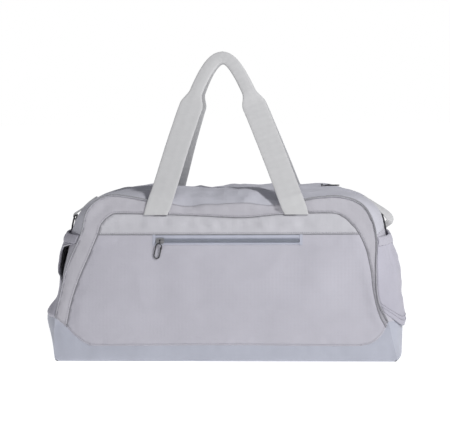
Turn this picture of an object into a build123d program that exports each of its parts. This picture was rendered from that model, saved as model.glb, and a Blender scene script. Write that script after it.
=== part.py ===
from build123d import *
import os
from math import atan2, cos, hypot, sin

# A soft sports duffel bag. The frame: +X to the right seen from the front, -Y is the front,
# +Z is up, and the origin is the middle of the base, on the surface that the bag stands on.
# Sizes are in millimetres.

# ---- driving dimensions ----
WALL = 2.5            # fabric with its seam allowance
BASE_HALF = 277.0     # half length at the floor
CAP_HALF = 283.0      # half length at the top of the base cap's ends
CAP_HEIGHT = 56.0
CROWN_Z = 265.0
SHOULDER = [(252.0, 206.0), (247.0, 226.0), (232.0, 244.0), (208.0, 257.0), (168.0, CROWN_Z)]
BELOW_FLOOR = 30.0    # the outline runs on below the floor, where it is cut off
FLAT_HALF = 66.0      # the gusset is square to the bag's length up to here
DEPTH_HALF = 130.0    # at the floor
SEAM_INSET = 20.0     # how far the seams lie inside the middle outline
TOP_DEPTH_HALF = 101.0  # front and back faces lean in to this
TOP_SEAM_Z = 252.0
FLAP_HALF = 145.0     # half length of the part of the top that opens
GAP = 0.3             # between bodies that move
PIPING = 1.3
BIG = 600.0

# front face details
ZIP_SEAM_Z = 198.0    # seam above the pocket zip
BASE_SEAM_Z = 26.0
ZIP_LEFT, ZIP_RIGHT = -110.0, 118.0
ANCHOR_Z = 231.0      # where the handles are sewn into the arch seam
WEBBING = 38.0
WEBBING_T = 2.4
GRIP_W, GRIP_T = 21.0, 7.0
LEG_FOOT_X = 109.0
LEG_TOP_X, LEG_TOP_Z = 47.0, 413.0
APEX_Z = 485.0
MEET_Y = 0.4          # the two handles stop this far from the middle plane

# zips
TAPE_IN = 7.0         # edge of the fabric beside the chain
TAPE_OUT = 15.0
CHAIN_OUT, CHAIN_IN = 3.2, 0.6
END_SEAM_Z = 204.0
SLOT_END_Z = 214.0
FLAP_HINGE_Y = 97.4
SLIDER_L, SLIDER_W = 13.0, 9.0
BAR_W = 4.2           # height of the slider's bar over the fabric
PULL_L, PULL_W, PULL_WIRE = 28.0, 8.6, 0.9
ZIP_V = 189.6         # height of the pocket zip up the front face
SLOT_LOW = 183.4
POCKET_SLIDER_U = ZIP_LEFT + SLIDER_L / 2 + 1.5
MAIN_SLIDER_X = FLAP_HALF + SLIDER_L / 2 + 3.0

# ends
POCKET_HALF_Y = 84.0
POCKET_OUT = [(290, 38), (294, 64), (290, 108), (285, 136), (277, 160), (272, 174)]
BAND_OUT = [(272, 174), (270, 182), (269, 190)]
POCKET_FLOOR = 42.0
LOOP_HALF_Y = 11.0
LOOP_TIP = (270, 213)
RING_HALF, RING_WIRE = 14.2, 1.5
RING_BAR, RING_LOW = (252.5, 220.5), (270.4, 195.8)

LEAN = atan2(DEPTH_HALF - TOP_DEPTH_HALF, TOP_SEAM_Z)
LEAN_RATIO = (DEPTH_HALF - TOP_DEPTH_HALF) / TOP_SEAM_Z
SLOT_HIGH = ZIP_SEAM_Z / cos(LEAN)

# local frames: u along the bag, v up the face, w out of it
FRONT = Plane(origin=(0, -DEPTH_HALF, 0), x_dir=(1, 0, 0), z_dir=(0, -cos(LEAN), sin(LEAN)))

parts = {}


# ---- helpers ----
def polygon(points):
    return make_face(Polyline(*points, close=True))


def prism_xz(face, y0, y1):
    """A face drawn in X and Z, as a solid from y0 to y1."""
    return extrude(Plane.XZ.offset(-y1) * face, amount=y1 - y0, dir=(0, -1, 0))


def prism_yz(face, x0, x1):
    """A face drawn in Y and Z, as a solid from x0 to x1."""
    return extrude(Plane.YZ.offset(x0) * face, amount=x1 - x0, dir=(1, 0, 0))


def block(x0, x1, y0, y1, z0, z1):
    centre = ((x0 + x1) / 2, (y0 + y1) / 2, (z0 + z1) / 2)
    return Pos(*centre) * Box(abs(x1 - x0), abs(y1 - y0), abs(z1 - z0))


def to_back(shape):
    return mirror(shape, about=Plane.XZ)


def to_left(shape):
    return mirror(shape, about=Plane.YZ)


def face_y(z):
    """Y of the front face at a height."""
    return -DEPTH_HALF + z * LEAN_RATIO


def front_box(u0, u1, v0, v1, w0, w1):
    """A block in the front face's own frame."""
    return FRONT * block(u0, u1, v0, v1, w0, w1)


# ---- the body's shape ----
def normal(start, end):
    dx, dz = end[0] - start[0], end[1] - start[1]
    size = hypot(dx, dz)
    return -dz / size, dx / size


def corner(before, here, after, inset):
    """Where the two sides that meet here cross after both have moved in."""
    n1, n2 = normal(before, here), normal(here, after)
    scale = inset / (1 + n1[0] * n2[0] + n1[1] * n2[1])
    return here[0] + (n1[0] + n2[0]) * scale, here[1] + (n1[1] + n2[1]) * scale


def outline(inset=0.0):
    """The middle outline, with its sides moved in by a distance and its corners kept sharp."""
    low_x = BASE_HALF - (CAP_HALF - BASE_HALF) * BELOW_FLOOR / CAP_HEIGHT
    side = [(low_x, -BELOW_FLOOR), (CAP_HALF, CAP_HEIGHT)] + SHOULDER
    points = side + [(-x, z) for x, z in reversed(side)]
    moved = []
    for i, here in enumerate(points):
        before, after = points[i - 1], points[(i + 1) % len(points)]
        moved.append(corner(before, here, after, inset))
    return polygon(moved)


def wedge(inset):
    """What lies between the leaning front and back faces."""
    low, high = DEPTH_HALF - inset / cos(LEAN), 290.0
    top = low - high * LEAN_RATIO
    return prism_yz(polygon([(-low, 0), (low, 0), (top, high), (-top, high)]), -BIG, BIG)


def endless_body(inset):
    """The body before its front, back and base are cut: its corners taper in to both seams."""
    face = outline(inset)
    reach = DEPTH_HALF - FLAT_HALF + 4
    near = Plane.XZ.offset(FLAT_HALF) * face
    far_inset = inset + SEAM_INSET * reach / (DEPTH_HALF - FLAT_HALF)
    far = Plane.XZ.offset(FLAT_HALF + reach) * outline(far_inset)
    front = loft([near, far], ruled=True)
    return prism_xz(face, -FLAT_HALF, FLAT_HALF) + front + to_back(front)


def body_solid(inset):
    return endless_body(inset) & wedge(inset) & block(-BIG, BIG, -BIG, BIG, inset, BIG)


outer = body_solid(0)
shell = outer - body_solid(WALL)
slab_low = -DEPTH_HALF + WALL / cos(LEAN)
front_slab = prism_yz(
    polygon([(-BIG, 0), (slab_low, 0), (slab_low + 290 * LEAN_RATIO, 290), (-BIG, 290)]), -BIG, BIG
)
back_slab = to_back(front_slab)
cap_outline = [
    (-BIG, -5), (-BIG, CAP_HEIGHT + 18), (-262, CAP_HEIGHT + 12), (-248, 52), (-222, 30),
    (-190, BASE_SEAM_Z), (190, BASE_SEAM_Z), (222, 30), (248, 52), (262, CAP_HEIGHT + 12),
    (BIG, CAP_HEIGHT + 18), (BIG, -5),
]
cap_zone = prism_xz(polygon(cap_outline), -BIG, BIG)


def arch_zone():
    """The area inside the arched seam of the front and back faces."""
    foot, side, mid, top = (261, 0), (201, 202), (188, 224), (160, 231)
    left = [(-x, z) for x, z in (foot, side, mid, top)]
    lines = Line(foot, side) + ThreePointArc(side, mid, top) + Line(top, left[3])
    lines += ThreePointArc(left[3], left[2], left[1]) + Line(left[1], left[0]) + Line(left[0], foot)
    return prism_xz(make_face(lines), -BIG, BIG)


# ---- panels ----
def make_panels():
    arch = arch_zone()
    above_seam = block(-BIG, BIG, -BIG, BIG, ZIP_SEAM_Z, BIG)
    front = (shell & front_slab) - cap_zone
    back = (shell & back_slab) - cap_zone
    slot = front_box(ZIP_LEFT, ZIP_RIGHT, SLOT_LOW, SLOT_HIGH, -5, 5)
    parts["base_cap"] = shell & cap_zone
    parts["front_border"] = front - arch
    parts["front_yoke"] = (front & arch) & above_seam
    parts["front_panel"] = (front & arch) - above_seam - slot
    parts["back_border"] = back - arch
    parts["back_panel"] = back & arch

    gusset = shell - front_slab - back_slab - cap_zone
    ends = gusset & block(SHOULDER[0][0] - 40, BIG, -BIG, BIG, 0, END_SEAM_Z)
    parts["right_end_panel"] = ends
    parts["left_end_panel"] = to_left(ends)
    tops = gusset & block(FLAP_HALF + GAP, BIG, -BIG, BIG, END_SEAM_Z, BIG)
    tops -= block(0, BIG, -TAPE_IN, TAPE_IN, SLOT_END_Z, BIG)
    parts["right_top_end"] = tops
    parts["left_top_end"] = to_left(tops)
    flap = gusset & block(-FLAP_HALF, FLAP_HALF, -FLAP_HINGE_Y, -TAPE_IN, 200, BIG)
    parts["front_flap"] = flap
    parts["back_flap"] = to_back(flap)


def make_piping():
    """The welt that stands out of the seam round the front and the back."""
    ring = endless_body(-PIPING) - endless_body(2 * PIPING)
    ring &= FRONT * block(-BIG, BIG, -BIG, BIG, -2 * PIPING, PIPING)
    ring = ring - outer - cap_zone & block(-BIG, BIG, -BIG, 0, 0, BIG)
    parts["front_piping"], parts["back_piping"] = ring, to_back(ring)


def make_base_board():
    inner = body_solid(WALL + 6)
    parts["base_board"] = Pos(0, 0, -6) * (inner & block(-BIG, BIG, -BIG, BIG, 0, WALL + 9))


# ---- zips: two half chains on two tapes, and a slider that straddles them ----
def slider(bar_along_u):
    """Slider with its middle on the chain's centre line: u along the chain, w out of the fabric."""
    half_l, half_w = SLIDER_L / 2, SLIDER_W / 2
    body = block(-3, 3, -0.3, 0.3, -5.0, 1.8)
    for w0, w1 in ((0.6, 1.8), (-5.0, -3.8)):
        plate = block(-half_l, half_l, -half_w, half_w, w0, w1)
        body += fillet(plate.edges().filter_by(Axis.Z), 2.5)
    for side in (-1, 1):
        post = block(3.4 * side, 4.6 * side, -0.8, 0.8, 1.8, BAR_W + 0.7)
        body += post if bar_along_u else Rot(0, 0, 90) * post
    bar = Pos(0, 0, BAR_W) * Rot(0, 90, 0) * Cylinder(0.7, 8.0)
    return body + (bar if bar_along_u else Rot(0, 0, 90) * bar)


def puller(tilt):
    """Bent wire puller: an eye round the slider's bar (along u), then a long loop down -v."""
    eye = Pos(0, 0, BAR_W) * Rot(0, 90, 0) * (Cylinder(1.9, 1.7) - Cylinder(1.0, 3))
    half, top = PULL_W / 2, -4.5
    high, low = top - half, -PULL_L + half
    loop = Line((half, high), (half, low))
    loop += ThreePointArc((half, low), (0, low - half), (-half, low))
    loop += Line((-half, low), (-half, high))
    loop += ThreePointArc((-half, high), (0, top), (half, high))
    section = Plane(origin=(half, low, 0), x_dir=(1, 0, 0), z_dir=(0, 1, 0)) * Circle(PULL_WIRE)
    ring = sweep(section, path=loop.wire())
    stem = block(-0.8, 0.8, top - 0.6, -1.4, -0.7, 0.7)
    bead = Pos(half, high - 2.5, 0) * Rot(90, 0, 0) * Cylinder(1.5, 4.0)
    return eye + Pos(0, 0, BAR_W - 0.6) * Rot(0, 0, tilt) * (ring + bead + stem)


def make_pocket_zip():
    tapes = front_box(ZIP_LEFT, ZIP_RIGHT, ZIP_V + CHAIN_OUT, SLOT_HIGH, -1.6, -0.8)
    tapes += front_box(ZIP_LEFT, ZIP_RIGHT, SLOT_LOW, ZIP_V - CHAIN_OUT, -1.6, -0.8)
    parts["pocket_zip_tapes"] = tapes
    for name, side in (("upper", 1), ("lower", -1)):
        parts[f"pocket_zip_{name}_chain"] = front_box(
            ZIP_LEFT + 1, ZIP_RIGHT - 1, ZIP_V + side * CHAIN_IN, ZIP_V + side * CHAIN_OUT, -2.2, 0.2
        )
    home = FRONT * Pos(POCKET_SLIDER_U, ZIP_V, 0)
    parts["pocket_slider"] = home * slider(True)
    parts["pocket_puller"] = home * puller(-12)
    pocket = front_box(-150, 150, 70, 205, -14, -WALL) - front_box(-149, 149, 71, 204, -13, 0)
    parts["pocket_bag"] = pocket - (shell & front_slab)


def make_main_zip():
    z = CROWN_Z
    tape = block(-FLAP_HALF, FLAP_HALF, -TAPE_OUT, -CHAIN_OUT, z - WALL - 0.8, z - WALL)
    chain = block(-FLAP_HALF, FLAP_HALF, -CHAIN_OUT, -CHAIN_IN, z - 3.2, z - 0.8)
    parts["front_main_tape"], parts["back_main_tape"] = tape, to_back(tape)
    parts["front_main_chain"], parts["back_main_chain"] = chain, to_back(chain)

    reach = block(FLAP_HALF + GAP, BIG, -BIG, BIG, SLOT_END_Z, BIG)

    def arched(depth_top, depth_low, y0, y1):
        ring = prism_xz(outline(depth_top), y0, y1) - prism_xz(outline(depth_low), y0, y1)
        return ring & reach

    tape_end = arched(WALL, WALL + 0.8, -TAPE_OUT, -CHAIN_OUT)
    chain_end = arched(0.8, 3.2, -CHAIN_OUT, -CHAIN_IN)
    for name, put in (("right", lambda s: s), ("left", to_left)):
        parts[f"{name}_zip_end_tapes"] = put(tape_end + to_back(tape_end))
        parts[f"{name}_zip_end_chains"] = put(chain_end + to_back(chain_end))
    home = Pos(MAIN_SLIDER_X, 0, CROWN_Z)
    parts["main_slider"] = home * slider(False)
    parts["main_puller"] = home * Rot(0, 0, 90) * puller(0)


# ---- carry handles ----
def handle_slab(thickness):
    """The handle seen from the side: up the face, then leaning in to meet the other handle."""
    bend = TOP_SEAM_Z + 4
    low = (face_y(ANCHOR_Z) - 2 * GAP, ANCHOR_Z)
    mid = (face_y(bend) - PIPING - 3 * GAP, bend)
    top = (-MEET_Y, APEX_Z + 14)
    run = hypot(top[0] - mid[0], top[1] - mid[1])
    out_y = -thickness * (top[1] - mid[1]) / run
    out_z = thickness * (top[0] - mid[0]) / run
    inner_side = [low, mid, top]
    outer_side = [
        (top[0] + out_y, top[1] + out_z), (mid[0] - thickness, mid[1]), (low[0] - thickness, low[1])
    ]
    strip = prism_yz(polygon(inner_side + outer_side), -BIG, BIG)
    return strip & block(-BIG, BIG, -BIG, BIG, 0, BIG)


def grip_outline(out):
    """Everything under the grip's curve, with the curve moved outwards."""
    x, z = LEG_TOP_X - 2 + out * 0.85, LEG_TOP_Z + out * 0.53
    peak = APEX_Z - GRIP_W / 2 + out
    mid = (x * 0.52, z + (peak - z) * 0.80)
    lines = Line((-x, z), (-mid[0], mid[1])) + ThreePointArc((-mid[0], mid[1]), (0, peak), mid)
    lines += Line(mid, (x, z)) + Line((x, z), (-x, z))
    return make_face(lines)


def make_handle():
    """The webbing of both legs, and the folded grip between them."""
    dx, dz = LEG_FOOT_X - LEG_TOP_X, LEG_TOP_Z - ANCHOR_Z
    length = hypot(dx, dz)
    half_x, half_z = WEBBING / 2 * dz / length, WEBBING / 2 * dx / length
    foot_half = WEBBING / 2 * length / dz
    leg = polygon([
        (LEG_FOOT_X - foot_half, ANCHOR_Z), (LEG_FOOT_X + foot_half, ANCHOR_Z),
        (LEG_TOP_X + half_x, LEG_TOP_Z + half_z), (LEG_TOP_X + 2, LEG_TOP_Z + 24),
        (LEG_TOP_X - 14, LEG_TOP_Z + 14), (LEG_TOP_X - half_x, LEG_TOP_Z - half_z),
    ])
    right_leg = prism_xz(leg, -BIG, 0)
    legs = right_leg + to_left(right_leg)
    arch = grip_outline(GRIP_W / 2) - grip_outline(-GRIP_W / 2)
    grip = prism_xz(arch, -BIG, 0)
    return (legs - grip) & handle_slab(WEBBING_T), grip & handle_slab(GRIP_T)


def make_handles():
    webbing, grip = make_handle()
    for name, put in (("front", lambda s: s), ("back", to_back)):
        parts[f"{name}_handle_webbing"] = put(webbing)
        parts[f"{name}_handle_grip"] = put(grip)


# ---- side pockets, on both ends ----
def pocket_part(outside, floor):
    """A wall that stands off the right end: an outside line, hollow above a floor height."""
    low, high = outside[0][1], outside[-1][1]
    inside = [(x - WALL, max(z, floor)) for x, z in outside]
    inside.append((inside[-1][0], high + 1))
    inside = [(180, floor)] + inside + [(180, high + 1)]
    solid = prism_xz(polygon([(180, low)] + outside + [(180, high)]), -POCKET_HALF_Y, POCKET_HALF_Y)
    inner_half = POCKET_HALF_Y - WALL
    return solid - prism_xz(polygon(inside), -inner_half, inner_half) - outer


def make_side_pockets():
    pouch = pocket_part(POCKET_OUT, POCKET_FLOOR)
    band = pocket_part(BAND_OUT, BAND_OUT[0][1] - 1)
    parts["right_side_pocket"], parts["left_side_pocket"] = pouch, to_left(pouch)
    parts["right_pocket_band"], parts["left_pocket_band"] = band, to_left(band)


# ---- strap loops and their rings ----
def strap_loop(tip):
    """A short length of webbing sewn down at both ends, seen along the bag's depth."""
    path_out = [(226, 252.0), tip, (tip[0] - 5, tip[1] - 8), (248, 196.5)]
    path_in = [(226, 248.5), (tip[0] - 4.5, tip[1] + 0.5), (tip[0] - 7, tip[1] - 5.5), (246, 199.5)]
    face = polygon(path_out + path_in[::-1])
    return prism_xz(face, -LOOP_HALF_Y, LOOP_HALF_Y) - outer


def d_ring(bar, low):
    """Closed wire ring with a straight bar along Y at (x, z) = bar, hanging down to low."""
    dx, dz = low[0] - bar[0], low[1] - bar[1]
    long, half, r = hypot(dx, dz), RING_HALF, RING_WIRE
    plane = Plane(origin=(bar[0], 0, bar[1]), x_dir=(0, 1, 0), z_dir=(dz, 0, -dx))
    path = Line((half, 0), (half, long - half))
    path += ThreePointArc((half, long - half), (0, long), (-half, long - half))
    bow = (path + Line((-half, long - half), (-half, 0))).wire()
    section = Plane(origin=(half, 0, 0), x_dir=(1, 0, 0), z_dir=(0, 1, 0)) * Circle(r)
    ring = sweep(section, path=bow) + Rot(0, 90, 0) * Cylinder(r, 2 * half)
    ring += Pos(half, 0, 0) * Sphere(r) + Pos(-half, 0, 0) * Sphere(r)
    return plane * ring


def make_strap_loops():
    loop, ring = strap_loop(LOOP_TIP), d_ring(RING_BAR, RING_LOW)
    parts["right_strap_loop"], parts["left_strap_loop"] = loop, to_left(loop)
    parts["right_d_ring"], parts["left_d_ring"] = ring, to_left(ring)


make_panels()
make_piping()
make_base_board()
make_pocket_zip()
make_main_zip()
make_handles()
make_side_pockets()
make_strap_loops()

os.makedirs("parts", exist_ok=True)
for name, shape in parts.items():
    shape.label = name
    export_step(shape, f"parts/{name}.step")
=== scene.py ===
from math import atan2, cos, exp, hypot, pi, radians, sin, sqrt

import bpy
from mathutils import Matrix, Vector, kdtree, noise
from mathutils.geometry import delaunay_2d_cdt


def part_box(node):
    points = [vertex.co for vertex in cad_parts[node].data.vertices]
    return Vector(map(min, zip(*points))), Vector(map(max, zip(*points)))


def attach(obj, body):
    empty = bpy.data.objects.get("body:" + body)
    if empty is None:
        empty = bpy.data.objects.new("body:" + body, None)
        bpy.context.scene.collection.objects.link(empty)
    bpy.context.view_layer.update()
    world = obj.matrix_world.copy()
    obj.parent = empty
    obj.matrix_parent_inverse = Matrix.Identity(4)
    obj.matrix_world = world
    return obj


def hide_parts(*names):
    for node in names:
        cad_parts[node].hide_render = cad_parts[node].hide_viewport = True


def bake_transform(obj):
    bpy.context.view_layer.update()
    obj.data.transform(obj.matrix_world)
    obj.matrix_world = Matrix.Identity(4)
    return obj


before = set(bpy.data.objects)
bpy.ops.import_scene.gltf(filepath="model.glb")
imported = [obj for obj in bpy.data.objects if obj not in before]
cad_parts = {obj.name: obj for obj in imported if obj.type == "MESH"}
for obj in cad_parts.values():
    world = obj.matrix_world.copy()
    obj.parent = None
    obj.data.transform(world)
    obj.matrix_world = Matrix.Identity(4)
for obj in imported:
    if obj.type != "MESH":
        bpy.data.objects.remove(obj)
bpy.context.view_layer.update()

# The bag stands on z = 0. +X is its right end seen from the front and -Y is the front. Metres.
MM = 0.001
SIDES = ((1, "right"), (-1, "left"))
HALVES = ((-1, "front"), (1, "back"))

# ---- shared shape of the body ----
FLOOR_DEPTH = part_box("base_cap")[1].y
TOP_DEPTH, TOP_SEAM = 0.101, 0.252    # the faces lean in to this half depth at this height
LEAN = (FLOOR_DEPTH - TOP_DEPTH) / TOP_SEAM
LEAN_ANGLE = atan2(FLOOR_DEPTH - TOP_DEPTH, TOP_SEAM)
EDGE_R = 5 * MM             # rounding where the sides meet the floor
ZIP_V = 188.4 * MM          # height of the pocket zip's middle
ZIP_SEAM = 198.0 * MM       # height of the seam over the pocket zip
SLOT = (-110 * MM, 118 * MM, 182.2 * MM, ZIP_SEAM)    # the pocket zip's opening: left, right, bottom, top
ZIP_EDGE = 7 * MM           # from the main zip's middle to the edge of the cloth

# The bag's outline in mm, at numbered stations from the floor up one end and over the shoulder to the
# middle of the top. MIDDLE is the outline half way between the faces, SEAM is the seam round each face.
# Both are given for the right side (1) and the left side (-1): a soft bag isn't quite symmetrical.
CROWN = [(110, 266), (55, 266), (0, 265)]
CROWN_SEAM = [(105, 249.5), (55, 246), (0, 245.5)]
MIDDLE = {
    1: [(281, 0), (283, 30), (283, 60), (275, 100), (264, 150), (254, 204), (245, 231), (225, 249),
        (197, 259), (167, 264)] + CROWN,
    -1: [(276, 0), (284, 30), (294, 67), (272, 100), (262, 150), (252, 204), (239, 230), (220, 248),
         (195, 258), (165, 263)] + CROWN,
}
SEAM = {
    1: [(269, 0), (262, 30), (254, 62), (239, 95), (236, 142), (237, 196), (226, 231), (208, 249),
        (180, 257), (150, 256)] + CROWN_SEAM,
    -1: [(268, 0), (270, 30), (268, 68), (262, 98), (249, 150), (228, 198), (220, 231), (205, 250),
         (181, 260), (151, 258)] + CROWN_SEAM,
}
CAP_T, END_T, TOP_T = 2.0, 5.0, 12.0    # stations of the cap's seam, the end panel's seam, and the middle
STATION = 45                # about how long one station is, in mm
LIP = 3.0 * MM              # the cloth stands up a little on both sides of the main zip
SLIDER_X = 0.158            # about where the main slider rests

# Seams across the front face, in mm: the cap's upper edge and the arch over the front panel.
CAP_RIGHT = [(0, 26), (190, 25), (216, 26), (234, 32), (246, 44), (251, 53), (254, 62)]
CAP_LEFT = [(0, 26), (190, 25), (216, 27), (238, 42), (250, 54), (268, 68)]
ARCH_LEFT = [(250, 54), (244, 85), (237, 110), (227, 137), (216, 162), (207, 183), (200, 200),
             (197, 211), (191, 220), (181, 228), (166, 231), (90, 229)]
ARCH_RIGHT = [(251, 53), (243, 68), (236, 89), (231, 116), (229, 137), (225, 158), (220, 177),
              (211, 197), (199, 213), (185, 225), (164, 231), (90, 229)]
ARCH_SAG = [(-40, 227), (25, 224), (62, 226.5)]


def cubic(a, b, c, d, f):
    """Smooth curve from b to c, which runs on from a and towards d. Takes mm, gives metres."""
    return 0.5 * MM * (2 * b + (c - a) * f + (2 * a - 5 * b + 4 * c - d) * f * f
                       + (3 * b - a - 3 * c + d) * f ** 3)


def catmull(points, t):
    """Point of the outline at station t, in metres. The outline is mirrored at its last station."""
    i = min(int(t), len(points) - 2)
    if i > 0:
        before = points[i - 1]
    else:
        before = (2 * points[0][0] - points[1][0], 2 * points[0][1] - points[1][1])
    if i + 2 < len(points):
        after = points[i + 2]
    else:
        after = (-points[-2][0], points[-2][1])
    return [cubic(before[k], points[i][k], points[i + 1][k], after[k], t - i) for k in range(2)]


def smooth(low, high, value):
    """0 at low and 1 at high, with a soft start and end. low may be the greater one."""
    f = max(0.0, min(1.0, (value - low) / (high - low)))
    return f * f * (3 - 2 * f)


def face_depth(z):
    """Half the bag's depth at a height."""
    return FLOOR_DEPTH - z * LEAN


def tuck(z):
    """How far a side turns in just above the floor."""
    if z >= EDGE_R:
        return 0.0
    return EDGE_R - sqrt(max(0.0, EDGE_R ** 2 - (EDGE_R - z) ** 2))


def rough(x, y, z, size, seed):
    return noise.noise(Vector((x / size + seed, y / size - seed, z / size + 2 * seed)))


def creases(x, y, z, size, seed):
    """Sharp-backed folds: noise that is folded over at zero."""
    warp = 0.6 * rough(x, y, z, 2.1 * size, seed + 5)
    value = noise.noise(Vector((x / size + seed + warp, y / size, z / size - seed + warp)))
    return 0.5 - abs(value) * 2.2


def crumple(p):
    """The slack cloth between the handles' legs, on both sides of the seam."""
    between_legs = smooth(0.105, 0.075, abs(p.x))
    amount = between_legs * smooth(0.229, 0.243, p.z) * smooth(0.018, 0.05, abs(p.y))
    if amount == 0:
        return p
    x, y, z = p
    size = 4.2 * creases(x + 0.5 * z, y * 0.8, z, 0.055, 31) + 2.2 * rough(x, y, z, 0.024, 17)
    size += 2.5 * sin((x + 0.02) / 0.03) * smooth(0.09, 0.05, abs(x))
    back = 1 if y > 0 else -1
    return p + Vector((0, back * 0.55, 0.8)) * (size - 1.5) * amount * MM


# ---- gusset: the strip between the front and back seams ----
def lip(side, x, y, t):
    """Height of the cloth's raised edge beside the main zip: it waves, and stands up by the slider."""
    wave = 0.45 * sin((side * x - 0.03) / 0.028)
    by_slider = 1.1 * exp(-((side * x - SLIDER_X) / 0.035) ** 2)
    across = exp(-((abs(y) - 30 * MM) / (15 * MM)) ** 2)
    return LIP * (1 + wave + by_slider) * across * smooth(7.5, 9.5, t)


def gusset_base(side, t, s):
    """Point of the smooth strip. side is 1 on the right, t the station, s from -1 front to 1 back."""
    mid, seam = catmull(MIDDLE[side], t), catmull(SEAM[side], t)
    w = abs(s) ** (3.4 + 1.0 * smooth(7.5, 9.5, t))
    x = mid[0] + (seam[0] - mid[0]) * w
    z = mid[1] + (seam[1] - mid[1]) * w
    y = s * face_depth(seam[1])
    z += lip(side, x, y, t)
    turn = tuck(z)
    reach = max(abs(x), 0.01)
    p = Vector((side * (x - turn * min(1.0, reach / 0.2)), y * (1 - turn / 0.13 * abs(s) ** 4), z))
    return crumple(p) if t > 9 else p


def gusset_normal(side, t, s):
    d = 0.02
    t0, t1 = max(0.0, t - d), min(TOP_T, t + d)
    s0, s1 = max(-1.0, s - d), min(1.0, s + d)
    along = gusset_base(side, t1, s) - gusset_base(side, t0, s)
    if t1 == TOP_T:
        along = Vector((-side, 0, 0)) * along.length
    across = gusset_base(side, t, s1) - gusset_base(side, t, s0)
    return across.cross(along).normalized() * side


def gusset_folds(t, x, y, z):
    """Folds of the strip's cloth in mm: shallow on the cap, deep on the slack top."""
    soft = 1.6 * rough(x, y, z, 0.09, 3) + 0.9 * creases(x, y, z, 0.055, 1)
    if t > 8.5:
        slack = smooth(8.5, 10, t) * smooth(0.004, 0.03, abs(y))
        deep = 3.4 * creases(x * 0.7, y, z, 0.045, 7) + 1.6 * rough(x, y * 0.6, z, 0.022, 4)
        soft += slack * deep
    if t < CAP_T:
        soft *= 0.25
    return soft


def gusset(side, t, s, lift=0.0):
    """Point of the finished strip: folded between its seams, pinched in and puckered at them."""
    here = gusset_base(side, t, s)
    edge = (1 - abs(s)) * face_depth(here.z)
    cross = min(abs(t - CAP_T), abs(t - END_T)) * STATION * MM
    seam = min(edge, cross)
    open_top = smooth(5.3, 6.5, t)
    slit = abs(here.y) - ZIP_EDGE if open_top > 0 else 1.0
    near = max(0.0, min(seam, slit / max(open_top, 0.01)))
    folds = smooth(0, 22 * MM, near) * gusset_folds(t, *here)
    pucker = 0.5 * rough(*here, 0.012, 9) * smooth(26 * MM, 4 * MM, seam) * smooth(0, 3 * MM, near)
    pinch = exp(-(seam / (4 * MM)) ** 2)
    if t < CAP_T:
        pinch *= smooth(0, 8 * MM, edge)
    return here + gusset_normal(side, t, s) * ((folds + pucker - pinch * 0.4) * MM + lift)


# ---- front and back faces ----
def mirrored(points):
    return [(-x, z) for x, z in points]


def polyline_mm(points, steps=8):
    """Smooth curve through points in mm, as points in metres."""
    out = []
    last = len(points) - 1
    for i in range(last):
        quad = points[max(i - 1, 0)], points[i], points[i + 1], points[min(i + 2, last)]
        for k in range(steps):
            out.append(tuple(cubic(*(p[c] for p in quad), k / steps) for c in range(2)))
    out.append((points[-1][0] * MM, points[-1][1] * MM))
    return out


def seam_line():
    """Outline of the front face, from the floor on the right, over the top, to the floor on the left."""
    steps = [i / 8 for i in range(int(TOP_T * 8))]
    right = [tuple(catmull(SEAM[1], t)) for t in steps]
    left = [(-x, z) for x, z in (catmull(SEAM[-1], t) for t in reversed(steps))]
    return right + [(0.0, CROWN_SEAM[-1][1] * MM)] + left


OUTLINE = seam_line()
CAP_EDGE = polyline_mm(mirrored(CAP_LEFT[:0:-1]) + CAP_RIGHT)
ARCH = polyline_mm(mirrored(ARCH_LEFT) + ARCH_SAG + ARCH_RIGHT[::-1])


def make_tree(points):
    """For finding how far a point of the face is from a set of lines."""
    tree = kdtree.KDTree(len(points))
    for i, (x, z) in enumerate(points):
        tree.insert((x, z, 0), i)
    tree.balance()
    return tree


def dense(points, step=2 * MM):
    """The same line with points at most about one step apart."""
    out = []
    for (x0, z0), (x1, z1) in zip(points, points[1:]):
        count = max(1, int(hypot(x1 - x0, z1 - z0) / step))
        out += [(x0 + (x1 - x0) * k / count, z0 + (z1 - z0) * k / count) for k in range(count)]
    return out + [points[-1]]


ZIP_LINE = [(-202 * MM, ZIP_SEAM), (210 * MM, ZIP_SEAM)]
PULLER_AT = (-0.100, 0.172)    # the cloth is pressed flat behind the pocket puller
SEAMS_FRONT = make_tree(dense(OUTLINE) + dense(ARCH) + dense(CAP_EDGE) + dense(ZIP_LINE))
SEAMS_BACK = make_tree(dense(OUTLINE) + dense(CAP_EDGE))
RIM = make_tree(dense(OUTLINE))
ARCH_LOOP = ARCH + [(0.251, 0), (-0.250, 0)]


def inside(point, loop):
    """Whether a point lies in a closed outline."""
    x, z = point
    hit = False
    for (x0, z0), (x1, z1) in zip(loop, loop[1:] + loop[:1]):
        if (z0 > z) != (z1 > z) and x < (x1 - x0) * (z - z0) / (z1 - z0) + x0:
            hit = not hit
    return hit


def height_on(line, x):
    """Height of a line that runs from left to right, at x."""
    for (x0, z0), (x1, z1) in zip(line, line[1:]):
        if x0 <= x <= x1 and x1 > x0:
            return z0 + (z1 - z0) * (x - x0) / (x1 - x0)
    return line[0][1]


def face_bulge(x, z, front, rim, pressed):
    """How far a face stands out, in mm: the front only bulges below its pocket zip."""
    full_height = 181 * MM if front else 250 * MM
    belly = sin(pi * min(1.0, max(0.0, z) / full_height)) ** 0.8
    bulge = 7.5 * belly * smooth(0, 0.10, rim) * (1 - 0.7 * pressed)
    if z < 40 * MM:
        bulge *= 0.55 + 0.45 * z / (40 * MM)
    return bulge


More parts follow.
